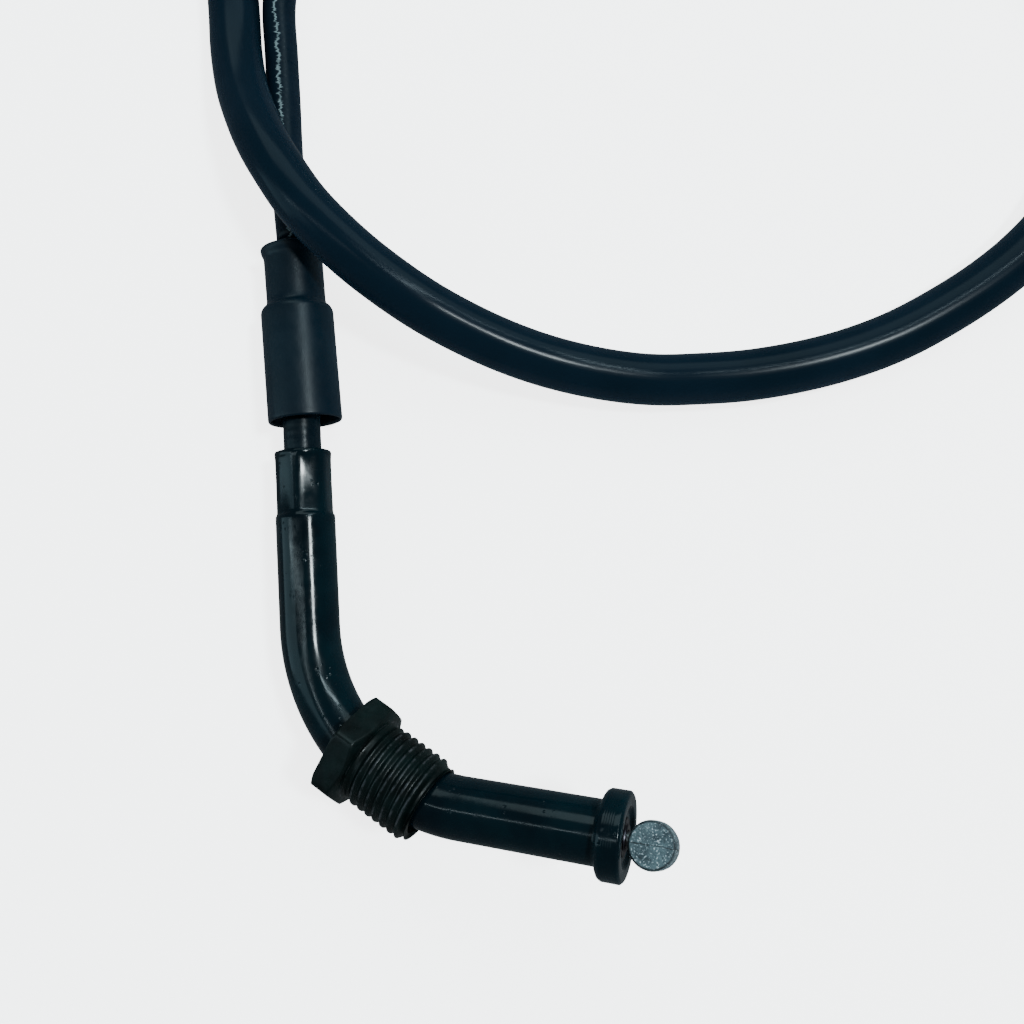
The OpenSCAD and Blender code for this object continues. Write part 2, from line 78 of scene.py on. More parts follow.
# The routes of part.scad.
THIN_ROUTE = [
    (0, 55.3, 5), (-0.3, 60, 4.7), (-0.7, 65.6, 4), (-0.9, 71.2, 3.4), (-1, 77.8, 2.8),
    (-1.1, 85.2, 2.6), (-1.1, 92.7, 2.6), (0.5, 100.2, 2.6), (5.6, 107.7, 2.6), (14, 113.3, 2.6),
    (26.2, 116.6, 2.6), (40, 118, 2.6), (54, 118, 2.6), (68, 117, 2.6), (80, 114.8, 2.6),
    (91, 111.2, 2.6), (101, 105.8, 2.6), (109.4, 98.8, 2.6), (115.5, 90.6, 3.1),
    (118.6, 81.8, 3.8), (119, 73.1, 4.5),
]
SLEEVE_ROUTE = [
    (119, 73.1, 4.5), (117.9, 65.4, 4.4), (115.2, 58.5, 4.1), (110.9, 52.4, 3.9),
    (105.6, 47.5, 3.9), (99.6, 43.3, 3.9), (92.9, 39.6, 3.9), (86.2, 36.6, 3.9), (79.1, 34.4, 3.9),
    (72, 33, 3.9), (64.5, 32.2, 3.9), (57.5, 32.1, 3.9), (50.5, 32.4, 3.9), (43.5, 33.5, 4.5),
    (36.4, 35.3, 5.6), (29.9, 37.6, 7.2), (23.6, 40.6, 8.8), (17.7, 44.1, 10.4),
    (11.6, 48.8, 11.7), (6.9, 53.3, 12.5), (2.9, 58.1, 12.6), (-0.4, 63.6, 11.8),
    (-2.9, 68.6, 10.3), (-4.9, 73.8, 8.3), (-6.3, 78.7, 6.5), (-7.2, 84.6, 4.9), (-7.5, 90.8, 4),
    (-7.7, 98.3, 4.1), (-7.5, 104.9, 4.4), (-7.5, 112.4, 4.5),
]
TAIL_ROUTE = [(-7.5, 112.4, 4.5), (-7.5, 121, 4), (-7.5, 131, 3.2), (-7.5, 140, 3.2)]


# ---- frames, with +Z along each piece's axis ----

def shift(x, y, z):
    return Matrix.Translation((x, y, z))


def turn(axis, degrees):
    return Matrix.Rotation(math.radians(degrees), 4, axis)


ELBOW = (
    shift(HOME.x, HOME.y + REST_Y, AXIS_Z) @ turn("X", -LEG_RISE)
    @ shift(0, -REST_Y, 0) @ turn("Y", -ELBOW_ROLL)
)


def on_leg(y):
    return ELBOW @ shift(0, y, 0) @ turn("X", -90)


def on_bend(a):
    return ELBOW @ shift(BEND_R, 0, 0) @ turn("Z", a) @ shift(-BEND_R, 0, 0) @ turn("X", 90)


def on_arm(s):
    return on_bend(BEND_ANGLE) @ shift(0, 0, s)


def on_fitting(s):
    return Matrix.Translation(HOME + FIT_AT + Vector((s, 0, 0))) @ turn("Y", 90)


# ---- camera ----

CAMERA_AT, CAMERA_TILT, CAMERA_ROLL = Vector((28.56, 4.22, 146.8)), 4.104, -3.447
SENSOR, LENS = 36, 35.15


def make_camera():
    data = bpy.data.cameras.new("camera")
    data.sensor_width, data.lens = SENSOR, LENS
    data.clip_start, data.clip_end = 0.01, 10
    cam = bpy.data.objects.new("camera", data)
    cam.location = (HOME + CAMERA_AT) * MM
    cam.rotation_euler = (math.radians(CAMERA_TILT), 0, math.radians(CAMERA_ROLL))
    bpy.context.scene.collection.objects.link(cam)
    bpy.context.scene.camera = cam


make_camera()


# ---- mesh helpers ----

def skin(name, rings, ends="capped", uv=None, smooth=True):
    """One mesh through equal rings of points in millimetres. ends is capped, joined or open."""
    n, m = len(rings[0]), len(rings)
    points = [Vector(p) * MM for ring in rings for p in ring]
    faces = []
    for i in range(m if ends == "joined" else m - 1):
        a, b = i * n, (i + 1) % m * n
        faces += [(a + k, a + (k + 1) % n, b + (k + 1) % n, b + k) for k in range(n)]
    sides = len(faces)
    if ends == "capped":
        faces += [tuple(range(n - 1, -1, -1)), tuple(range((m - 1) * n, m * n))]
    mesh = bpy.data.meshes.new(name)
    mesh.from_pydata(points, [], faces)
    mesh.update()
    mesh.polygons.foreach_set("use_smooth", [smooth] * len(faces))
    if uv:
        layer = mesh.uv_layers.new(name="along")
        for f in range(sides):
            i, k = divmod(f, n)
            corners = [(i, k), (i, k + 1), (i + 1, k + 1), (i + 1, k)]
            for loop, (row, col) in zip(mesh.polygons[f].loop_indices, corners):
                layer.data[loop].uv = (uv[row % len(uv)], col / n)
    obj = bpy.data.objects.new(name, mesh)
    bpy.context.scene.collection.objects.link(obj)
    return obj


def ring_at(place, z, radius, sides):
    """Points round a place's axis, where the radius may be a function of the angle."""
    ring = []
    for k in range(sides):
        a = 2 * math.pi * k / sides
        r = radius(a) if callable(radius) else radius
        ring.append(place @ Vector((r * math.cos(a), r * math.sin(a), z)))
    return ring


def turned(name, place, rows, sides=96, **kw):
    """Surface round an axis from rows of (z, radius)."""
    return skin(name, [ring_at(place, z, radius, sides) for z, radius in rows], **kw)


def rounded(outline, radius, steps=4):
    """Rows of (z, radius) with the inner corners of an outline rounded off."""
    points = [Vector(p) for p in outline]
    rows = [points[0]]
    for before, corner, after in zip(points, points[1:], points[2:]):
        reach = min(radius, (before - corner).length * 0.45, (after - corner).length * 0.45)
        a = corner + (before - corner).normalized() * reach
        b = corner + (after - corner).normalized() * reach
        for i in range(steps + 1):
            t = i / steps
            rows.append(a * (1 - t) ** 2 + corner * 2 * t * (1 - t) + b * t * t)
    rows.append(points[-1])
    return [(p.x, p.y) for p in rows]


def spline(points, step):
    """Points a step apart along a smooth curve through a route."""
    p = [Vector(q) for q in points]
    p = [p[0] * 2 - p[1]] + p + [p[-1] * 2 - p[-2]]
    out = []
    for a, b, c, d in zip(p, p[1:], p[2:], p[3:]):
        count = max(1, round((c - b).length / step))
        for i in range(count):
            t = i / count
            out.append(
                0.5 * (2 * b + (c - a) * t + (2 * a - 5 * b + 4 * c - d) * t * t
                       + (3 * b - a - 3 * c + d) * t ** 3)
            )
    return out + [p[-2]]


def swept(name, path, radius, sides=32):
    """Tube along a path; radius may be a function of the distance and the angle round it."""
    rings, travelled = [], []
    side, distance = None, 0.0
    for i, c in enumerate(path):
        ahead = (path[min(i + 1, len(path) - 1)] - path[max(i - 1, 0)]).normalized()
        side = Vector((0, 0, 1)).cross(ahead) if side is None else side
        side = (side - ahead * side.dot(ahead)).normalized()
        up = ahead.cross(side)
        distance += (c - path[i - 1]).length if i else 0
        ring = []
        for k in range(sides):
            a = 2 * math.pi * k / sides
            r = radius(distance, a) if callable(radius) else radius
            ring.append(c + r * (math.cos(a) * side + math.sin(a) * up))
        rings.append(ring)
        travelled.append(distance * MM)
    return skin(name, rings, uv=travelled)


# ---- cord: the conduit from the boot to its ferrule, and the sleeve over it ----

def lies_at(points):
    return [HOME + Vector(p) for p in points]


def eased(value, start, over):
    """0 before the start, 1 once past it by over, and a smooth step between."""
    t = min(max((value - start) / over, 0), 1)
    return t * t * (3 - 2 * t)


def coil_turns():
    """Two turns side by side and a last part turn on top, from the coil's left side to its far side."""
    points = []
    for degrees in range(COIL_STEP, COIL_SWEEP + 1, COIL_STEP):
        climb = eased(degrees, CLIMB_FROM, CLIMB_OVER)
        r = OUTER_TURN + (INNER_TURN - OUTER_TURN) * eased(degrees, INWARD_FROM, INWARD_OVER)
        r += CLIMB_OUT * climb
        z = COIL_Z + CLIMB_UP * climb
        a = math.radians(180 - degrees)
        points.append((COIL_AT.x + r * math.cos(a), COIL_AT.y + r * math.sin(a), z))
    return points


def conduit_path():
    route = THIN_ROUTE + SLEEVE_ROUTE[1:] + TAIL_ROUTE[1:] + [(-7.5, 148, 3.2)]
    route += coil_turns() + [(31, 181.5, 8.1), (39, 181.5, 7.8), (45, 181.5, 7.1), (49.5, 181.5, 7)]
    return spline(lies_at(route), 1.2)


conduit_line = conduit_path()
conduit = swept("conduit", conduit_line, CONDUIT_D / 2, 28)
sleeve_line = spline(lies_at(SLEEVE_ROUTE), 1.0)


def sleeve_radius(distance, angle):
    """The sleeve is drawn over the conduit, so it is very slightly uneven."""
    wave = noise.noise(Vector((distance * 0.05, math.cos(angle), math.sin(angle))))
    return SLEEVE_D / 2 * (0.992 + 0.008 * wave)


sleeve = swept("sleeve", sleeve_line, sleeve_radius, 40)

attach(conduit, "cable")
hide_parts("thin_run", "tail_run", "exit_run", "conduit_coil")
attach(sleeve, "cable")
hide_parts("sleeved_run")


# ---- materials ----

class Shader:
    """A node material: a principled shader and the textures that feed it."""

    def __init__(self, name, colour, roughness, **sockets):
        self.material = bpy.data.materials.new(name)
        self.material.use_nodes = True
        self.tree = self.material.node_tree
        self.principled = self.tree.nodes["Principled BSDF"]
        self.place = self.add("ShaderNodeTexCoord").outputs["Object"]
        self.set("Base Color", (*colour, 1))
        self.set("Roughness", roughness)
        for socket, value in sockets.items():
            self.set(socket.replace("_", " "), value)

    def set(self, socket, value):
        if isinstance(value, bpy.types.NodeSocket):
            self.tree.links.new(value, self.principled.inputs[socket])
        else:
            self.principled.inputs[socket].default_value = value

    def add(self, kind, inputs=(), **settings):
        node = self.tree.nodes.new(kind)
        for key, value in settings.items():
            setattr(node, key, value)
        for key, value in dict(inputs).items():
            if isinstance(value, bpy.types.NodeSocket):
                self.tree.links.new(value, node.inputs[key])
            else:
                node.inputs[key].default_value = value
        return node

    def noise(self, scale, detail=3, roughness=0.55, at=None):
        at = at or self.place
        inputs = {"Vector": at, "Scale": scale, "Detail": detail, "Roughness": roughness}
        return self.add("ShaderNodeTexNoise", inputs).outputs["Fac"]

    def cells(self, scale):
        node = self.add("ShaderNodeTexVoronoi", {"Vector": self.place, "Scale": scale}, feature="F1")
        return node.outputs["Distance"]

    def stretch(self, x, y, z, at=None):
        node = self.add("ShaderNodeMapping", {"Vector": at or self.place, "Scale": (x, y, z)})
        return node.outputs["Vector"]

    def spread(self, value, low, high, to_low=0.0, to_high=1.0):
        """The value's range from low to high, spread over another range and held inside it."""
        inputs = {"Value": value, "From Min": low, "From Max": high, "To Min": to_low, "To Max": to_high}
        return self.add("ShaderNodeMapRange", inputs, clamp=True).outputs["Result"]

    def math(self, kind, a, b=0.0):
        return self.add("ShaderNodeMath", {0: a, 1: b}, operation=kind).outputs[0]

    def vector(self, kind, output, *values):
        return self.add("ShaderNodeVectorMath", dict(enumerate(values)), operation=kind).outputs[output]

    def from_axis(self, centre, axis):
        """Distance in metres from the line through a centre along an axis."""
        out = self.vector("SUBTRACT", "Vector", self.place, tuple(centre))
        return self.vector("LENGTH", "Value", self.vector("CROSS_PRODUCT", "Vector", out, tuple(axis)))

    def tint(self, scale, detail, low, high, a, b):
        """A soft blend of two colours by noise."""
        return self.mix(self.spread(self.noise(scale, detail), low, high), a, b)

    def worn(self, scale, detail, smooth, rough):
        """Roughness that wanders between two values."""
        self.set("Roughness", self.spread(self.noise(scale, detail), 0.3, 0.7, smooth, rough))

    def mix(self, amount, a, b):
        node = self.add("ShaderNodeMix", data_type="RGBA")
        for index, value in ((0, amount), (6, a), (7, b)):
            if isinstance(value, bpy.types.NodeSocket):
                self.tree.links.new(value, node.inputs[index])
            elif index:
                node.inputs[index].default_value = (*value, 1)
            else:
                node.inputs[index].default_value = value
        return node.outputs[2]

    def bump(self, *layers):
        """Each layer is a height, its depth in metres and its strength."""
        normal = None
        for height, depth, strength in layers:
            inputs = {"Height": height, "Distance": depth, "Strength": strength}
            node = self.add("ShaderNodeBump", inputs)
            if normal:
                self.tree.links.new(normal, node.inputs["Normal"])
            normal = node.outputs["Normal"]
        self.set("Normal", normal)


def black_paint():
    """Thick gloss black over steel: orange peel, dust nibs and small pits."""
    s = Shader("black_paint", (0.002, 0.005, 0.007), 0.12, Specular_IOR_Level=0.15)
    s.set("Base Color", s.tint(160, 4, 0.3, 0.7, (0.0006, 0.003, 0.005), (0.0012, 0.007, 0.010)))
    s.worn(500, 4, 0.09, 0.20)
    peel = s.noise(420, 2)
    rare = s.spread(s.noise(260, 2), 0.56, 0.62)
    pits = s.math("MAXIMUM", s.spread(s.cells(800), 0.03, 0.2), s.math("SUBTRACT", 1.0, rare))
    nibs = s.spread(s.math("MULTIPLY", s.spread(s.cells(1100), 0.22, 0.08), rare), 0, 1)
    s.bump((peel, 0.00005, 0.3), (pits, 0.0001, 0.6), (nibs, 0.00008, 0.5))
    return s.material


def nut_paint():
    """Satin black on the gland nut, with a painted highlight in pale flecks along the crests of its
    thread.
    """
    s = Shader("nut_paint", (0.002, 0.004, 0.004), 0.30, Specular_IOR_Level=0.16)
    tone = s.tint(240, 4, 0.35, 0.7, (0.0008, 0.002, 0.002), (0.002, 0.007, 0.007))
    place = on_bend(NUT_ANGLE) @ shift(NUT_SHIFT, 0, 0)
    radius = s.from_axis(place.translation * MM, place.to_3x3().col[2].normalized())
    # Painted highlight: pale flecks on the thread's crests, picked out by their distance from the nut's
    # axis and broken up by noise.
    crest_r = THREAD_D / 2 * MM
    crest = s.spread(radius, crest_r - 0.00006, crest_r - 0.00002)
    crest = s.math("MULTIPLY", crest, s.spread(radius, crest_r + 0.0002, crest_r + 0.00008))
    crest = s.math("MULTIPLY", crest, s.spread(s.noise(700, 4, 0.7), 0.46, 0.62))
    s.set("Base Color", s.mix(crest, tone, (0.022, 0.024, 0.028)))
    s.worn(900, 4, 0.26, 0.42)
    s.bump((s.noise(1400, 3), 0.00003, 0.3))
    return s.material


def rubber():
    """Moulded blue-black rubber with a fine bloom."""
    s = Shader("rubber", (0.002, 0.007, 0.012), 0.45, Specular_IOR_Level=0.16)
    s.set("Base Color", s.tint(90, 5, 0.3, 0.72, (0.0008, 0.004, 0.008), (0.0018, 0.008, 0.014)))
    s.worn(500, 4, 0.32, 0.44)
    s.bump((s.noise(1800, 3), 0.00004, 0.35), (s.noise(220, 2), 0.0002, 0.12))
    return s.material


def sleeve_vinyl():
    """Smooth extruded PVC with faint drawing lines."""
    s = Shader("sleeve_vinyl", (0.002, 0.008, 0.012), 0.3, Specular_IOR_Level=0.055)
    along = s.add("ShaderNodeUVMap", uv_map="along").outputs["UV"]
    lines = s.noise(1, 2, at=s.stretch(12, 60, 1, along))
    s.set("Base Color", s.tint(60, 4, 0.3, 0.7, (0.0022, 0.0065, 0.0115), (0.0034, 0.0090, 0.0160)))
    s.set("Roughness", s.spread(lines, 0.3, 0.7, 0.16, 0.24))
    s.bump((lines, 0.00003, 0.2), (s.noise(800, 3), 0.00002, 0.15))
    return s.material


def conduit_vinyl():
    """Jacket drawn over a wound strip: fine ridges, and a broken pale line of painted highlight along one
    side.
    """
    s = Shader("conduit_vinyl", (0.002, 0.006, 0.010), 0.3, Specular_IOR_Level=0.07)
    along = s.add("ShaderNodeUVMap", uv_map="along").outputs["UV"]
    parts = s.add("ShaderNodeSeparateXYZ", {"Vector": along})
    distance, round_it = parts.outputs[0], parts.outputs[1]
    ridge = s.math("SINE", s.math("MULTIPLY", distance, 2 * math.pi / STRIP_PITCH))
    # Painted highlight: a broken pale zigzag line at a fixed turn round the conduit, mixed into the base
    # colour.
    zigzag = s.math("SUBTRACT", s.noise(1, 3, 0.7, s.stretch(1800, 6, 1, along)), 0.5)
    wander = s.math("MULTIPLY", zigzag, 0.15)
    off = s.math("ABSOLUTE", s.math("SUBTRACT", s.math("ADD", round_it, wander), HIGHLIGHT_LINE_AT))
    broken = s.spread(s.noise(1, 2, 0.6, s.stretch(420, 3, 1, along)), 0.34, 0.44)
    painted_highlight = s.math("MULTIPLY", s.spread(off, 0.015, 0.007), broken)
    base = s.tint(120, 4, 0.3, 0.7, (0.0018, 0.0055, 0.0100), (0.0030, 0.0080, 0.0145))
    s.set("Base Color", s.mix(painted_highlight, base, (0.13, 0.17, 0.18)))
    s.worn(600, 3, 0.24, 0.4)
    s.bump((ridge, 0.00004, 0.2), (s.noise(900, 3), 0.00002, 0.2))
    return s.material


def plain_vinyl(name):
    """The jacket's and the sleeve's plastic on short turned pieces."""
    s = Shader(name, (0.002, 0.006, 0.009), 0.3, Specular_IOR_Level=0.12)
    s.set("Base Color", s.tint(140, 4, 0.3, 0.7, (0.001, 0.004, 0.007), (0.003, 0.009, 0.013)))
    s.worn(600, 3, 0.22, 0.38)
    s.bump((s.noise(900, 3), 0.00003, 0.25))
    return s.material


def zinc(name, crack=None, rim=None):
    """Die-cast zinc: a frosty mottled skin with fine bright specks and pores.

    crack is the plane of a parting line, as its normal and its distance from the origin in metres.
    rim is a ring of painted shade, in patches, round an end face's rounded rim, as its centre, axis and
    radius in metres.
    """
    s = Shader(name, (0.06, 0.09, 0.10), 0.5, Metallic=0.3)
    mottle = s.spread(s.noise(500, 6, 0.75), 0.38, 0.62)
    specks = s.spread(s.noise(4200, 3, 0.6), 0.57, 0.68)
    pores = s.spread(s.cells(1500), 0.05, 0.25)
    tone = s.mix(mottle, (0.018, 0.032, 0.040), (0.075, 0.115, 0.130))
    tone = s.mix(specks, tone, (0.42, 0.50, 0.54))
    tone = s.mix(pores, (0.008, 0.014, 0.018), tone)
    if crack:
        normal, distance = crack
        along = s.vector("DOT_PRODUCT", "Value", s.place, tuple(normal))
        wander = s.math("MULTIPLY", s.math("SUBTRACT", s.noise(900, 3), 0.5), 0.0005)
        off = s.math("ADD", s.math("SUBTRACT", along, distance), wander)
        line = s.spread(s.math("ABSOLUTE", off), 0.00003, 0.00009)
        tone = s.mix(line, (0.004, 0.007, 0.009), tone)
    if rim:
        # Painted shade: a dark patchy ring laid on the rounded rim of each end face.
        centre, axis, ring_r = rim
        off = s.math("ABSOLUTE", s.math("SUBTRACT", s.from_axis(centre, axis), ring_r))
        patchy = s.spread(s.noise(1300, 3), 0.30, 0.55, 0.45, 0.95)
        rim_shade = s.math("MULTIPLY", s.spread(off, 0.00016, 0.00005), patchy)
        tone = s.mix(rim_shade, tone, (0.004, 0.009, 0.012))
    s.set("Base Color", tone)
    s.set("Roughness", s.spread(mottle, 0, 1, 0.6, 0.4))
    s.bump((mottle, 0.00006, 0.6), (pores, 0.00006, 0.4))
    return s.material


def steel_wire():
    """Drawn wire laid up in a strand."""
    s = Shader("steel_wire", (0.42, 0.43, 0.44), 0.34, Metallic=1.0)
    s.set("Base Color", s.tint(900, 4, 0.3, 0.7, (0.30, 0.31, 0.32), (0.52, 0.53, 0.54)))
    s.worn(1500, 3, 0.25, 0.45)
    s.bump((s.noise(2500, 2), 0.00002, 0.4))
    return s.material


def plated_steel(name, hollow, crest):
    """Zinc-plated steel with tool marks, between the colours of its hollows and its crests."""
    s = Shader(name, crest, 0.28, Metallic=1.0)
    patches = s.spread(s.noise(300, 5, 0.6), 0.35, 0.68)
    s.set("Base Color", s.mix(patches, hollow, crest))
    s.set("Roughness", s.spread(s.noise(1, 3, at=s.stretch(2600, 160, 160)), 0.3, 0.7, 0.2, 0.42))
    s.bump((s.noise(1, 2, at=s.stretch(4000, 120, 120)), 0.00003, 0.35))
    return s.material


def nylon():
    """Natural nylon of the liners and of the adjuster's bush."""
    s = Shader("nylon", (0.72, 0.70, 0.62), 0.45, Subsurface_Weight=0.2)
    s.set("Base Color", s.tint(200, 3, 0.3, 0.7, (0.64, 0.62, 0.54), (0.78, 0.76, 0.69)))
    s.bump((s.noise(1200, 3), 0.00003, 0.3))
    return s.material


def tie_nylon():
    """Black nylon of the cable ties."""
    s = Shader("tie_nylon", (0.012, 0.012, 0.013), 0.42)
    s.worn(500, 3, 0.34, 0.55)
    s.bump((s.noise(1500, 3), 0.00003, 0.3))
    return s.material


PAINT, NUT_PAINT, RUBBER, VINYL, JACKET = (
    black_paint(), nut_paint(), rubber(), sleeve_vinyl(), conduit_vinyl()
)
NIPPLE_PLACE = on_arm(NIPPLE_S) @ shift(-NIPPLE_DROP, 0, 0) @ turn("Z", NIPPLE_ROLL) @ turn("X", 90)
RIM_IN = 0.25  # from the nipple's side to its ring of painted shade
nipple_axes = NIPPLE_PLACE.to_3x3()
parting, barrel = nipple_axes.col[0].normalized(), nipple_axes.col[2].normalized()
ZINC = zinc("zinc")
CAST = zinc(
    "cast_zinc",
    crack=(parting, parting.dot(NIPPLE_PLACE.translation) * MM),
    rim=(NIPPLE_PLACE.translation * MM, barrel, (NIPPLE_D / 2 - RIM_IN) * MM),
)
PLATED = plated_steel("plated_steel", (0.40, 0.39, 0.35), (0.58, 0.59, 0.60))
OILED = plated_steel("oiled_steel", (0.030, 0.026, 0.034), (0.085, 0.080, 0.095))
WIRE, NYLON, TIE = steel_wire(), nylon(), tie_nylon()
JACKET_END, VINYL_END = plain_vinyl("jacket_end"), plain_vinyl("sleeve_end")


def finish_piece(obj, material, body, nodes=()):
    obj.data.materials.clear()
    obj.data.materials.append(material)
    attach(obj, body)
    if nodes:
        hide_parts(*nodes)


conduit.data.materials.append(JACKET)
sleeve.data.materials.append(VINYL)

CAD_FINISH = {
    "conduit_jacket": JACKET_END, "elbow_liner": NYLON, "conduit_liner": NYLON,
    "conduit_armour": WIRE, "bend_wire": WIRE, "adjuster_bush": NYLON,
}
for node, material in CAD_FINISH.items():
    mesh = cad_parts[node].data
    mesh.materials.clear()
    mesh.materials.append(material)


# ---- elbow pipe, collar and gland nut ----

def soft_min(a, b, blend):
    h = max(blend - abs(a - b), 0) / blend
    return min(a, b) - h * h * blend / 4


def six_sided(across, corner_at, limit, blend=0.12):
    """Radius of a hexagon by angle, with its corners cut back to a limit."""
    def radius(angle):
        off = (angle - math.radians(corner_at)) % (math.pi / 3) - math.pi / 6
        return soft_min(across / 2 / math.cos(off), limit, blend)
    return radius


BEND_ARC = math.radians(BEND_ANGLE) * BEND_R
ROUND_LEG = LEG_LEN - 0.8  # the leg below the blend into the crimp
OVAL = 0.012  # share by which the bend is pressed flat


def pipe_frames(step=1.0):
    """Places down the leg, round the bend and out along the arm, each with its distance."""
    end = ARM_LEN + COLLAR_LEN - 1
    count = round((ROUND_LEG + BEND_ARC + end) / step)
    for i in range(count + 1):
        t = (ROUND_LEG + BEND_ARC + end) * i / count - ROUND_LEG
        if t <= 0:
            yield on_bend(0) @ shift(0, 0, t), t
        elif t <= BEND_ARC:
            yield on_bend(math.degrees(t / BEND_R)), t
        else:
            yield on_arm(t - BEND_ARC), t


def pipe_radius(t):
    """Round on the straights, pressed slightly oval across the bend."""
    squeeze = OVAL * math.sin(math.pi * min(max(t / BEND_ARC, 0), 1)) ** 2
    return lambda a: PIPE_D / 2 * (1 - squeeze * math.cos(a) ** 2)


def make_pipe():
    """Elbow from the lip of its crimp down to the end that the collar covers."""
    sides = 72
    crimp = six_sided(CRIMP_AF, CRIMP_TURN, CRIMP_D / 2, 0.25)
    mouth, round_r = SHRINK_D / 2 + 0.06, PIPE_D / 2 - 0.15

    def towards_round(share, drop=0.0):
        return lambda a: crimp(a) * (1 - share) + round_r * share - drop

    lip = [
        (CRIMP_LEN - 3, mouth), (CRIMP_LEN - 0.4, mouth),
        (CRIMP_LEN, mouth + 0.35), (CRIMP_LEN, towards_round(0.8, 0.3)),
        (CRIMP_LEN - 0.08, towards_round(0.8, 0.1)), (CRIMP_LEN - 0.3, towards_round(0.8)),
        (CRIMP_LEN - 0.6, towards_round(0.75)), (CRIMP_LEN - 0.9, towards_round(0.4)),
        (CRIMP_LEN - 1.3, towards_round(0.05)), (CRIMP_LEN / 2, towards_round(0, 0.02)),
        (0.7, towards_round(0)), (0.35, towards_round(0.2)), (0.1, towards_round(0.75)),
        (-0.15, PIPE_D / 2 - 0.02), (-0.5, PIPE_D / 2),
    ]
    rings = [ring_at(on_bend(0) @ shift(0, 0, -(LEG_LEN + y)), 0, radius, sides) for y, radius in lip]
    rings += [ring_at(place, 0, pipe_radius(t), sides) for place, t in pipe_frames()]
    return skin("pipe", rings)


def make_collar():
    """Turned collar with fine tool lines round it and a dished face."""
    r, lines, first, apart, deep = COLLAR_D / 2, 5, 0.95, 0.3, 0.025
    dish_r, floor_r, hole_r, dish = 3.9, 3.6, 2.4, 0.45
    outline = [(0, PIPE_D / 2), (0, r - 0.7), (0.25, r - 0.25), (0.7, r)]
    for line in range(lines):
        z = first + apart * line
        outline += [(z, r), (z + 0.07, r - deep), (z + 0.14, r)]
    outline += [(COLLAR_LEN - 0.3, r), (COLLAR_LEN, r - 0.35), (COLLAR_LEN, dish_r)]
    outline += [(COLLAR_LEN - dish, floor_r), (COLLAR_LEN - dish, hole_r), (COLLAR_LEN - 1, hole_r)]
    return turned("collar", on_arm(ARM_LEN), rounded(outline, 0.1, 2), 120)


def make_braze():
    """Fillet of braze between the pipe and the back of the collar."""
    r, reach, rise, steps = PIPE_D / 2, 0.45, 0.4, 8
    rows = [(-reach, r - 0.2)]
    for i in range(steps + 1):
        a = math.pi / 2 * i / steps
        rows.append((-reach * (1 - math.sin(a)), r + 0.02 + rise * (1 - math.cos(a))))
    rows.append((0.05, r - 0.2))
    return turned("braze", on_arm(ARM_LEN), rows, 72, ends="joined")


def thread_ridge(z, angle, start, end, pitch, foot, flank, fade_in, fade_out):
    """Share of its full height that a right-hand thread has, fading at its two ends.

    foot and flank are where the ridge starts and how wide its slope is, in turns.
    """
    phase = (z - start) / pitch - angle / (2 * math.pi)
    off = abs(phase - math.floor(phase) - 0.5)
    fade = min(max((z - start) / fade_in, 0), 1) * min(max((end - z) / fade_out, 0), 1)
    return min(max((foot - off) / flank, 0), 1) * fade


def threaded_rows(base, depth, step, start, end, pitch, *shape):
    """Rows of a thread; base is the radius of its root by height."""
    count = round((end - start) / step)
    heights = [start + (end - start) * i / count for i in range(count + 1)]
    return [
        (z, lambda a, z=z: base(z) + depth * thread_ridge(z, a, start, end, pitch, *shape))
        for z in heights
    ]


def make_gland_nut():
    """Chamfered hexagon and threaded sleeve, bored to slide round the bend."""
    place = on_bend(NUT_ANGLE) @ shift(NUT_SHIFT, 0, -NUT_LEN / 2)
    corner = NUT_AF / math.cos(math.pi / 6) / 2
    bore, root = NUT_BORE / 2, THREAD_D / 2 - THREAD_DEPTH
    start, end = NUT_HEX_LEN + 0.6, NUT_LEN - 0.1
    six = six_sided(NUT_AF, NUT_ROLL, corner - 0.12, 0.2)
    slope, lead_in = math.tan(math.radians(30)), 1.1

    def head(z):
        limit = min(corner - 0.6 + z / slope, corner - 1.4 + (NUT_HEX_LEN - z) / slope)
        return lambda a: soft_min(six(a), limit, 0.15)

    edge = [0, 0.05, 0.12, 0.2, 0.3, 0.42, 0.56, 0.72, 0.9, 1.1]
    rows = [(1.2, bore), (0.6, bore), (0, bore + 0.4)]
    rows += [(z, head(z)) for z in edge + [1.8, 2.2]]
    rows += [(NUT_HEX_LEN - z, head(NUT_HEX_LEN - z)) for z in reversed(edge)]
    rows += [(NUT_HEX_LEN, root + 0.4), (NUT_HEX_LEN + 0.06, root + 0.12), (NUT_HEX_LEN + 0.2, root)]
    rows += threaded_rows(
        lambda z: root - max(z - (NUT_LEN - lead_in), 0) * lead_in,
        THREAD_DEPTH, 0.085, start, end, PITCH, 0.44, 0.36, 0.9, 0.35,
    )
    rows += [(NUT_LEN, root - 0.1), (NUT_LEN, bore + 0.2), (NUT_LEN - 0.4, bore), (NUT_LEN - 1.2, bore)]
    return turned("gland_nut_body", place, rows, 180, ends="joined")


# ---- boot and nipples ----

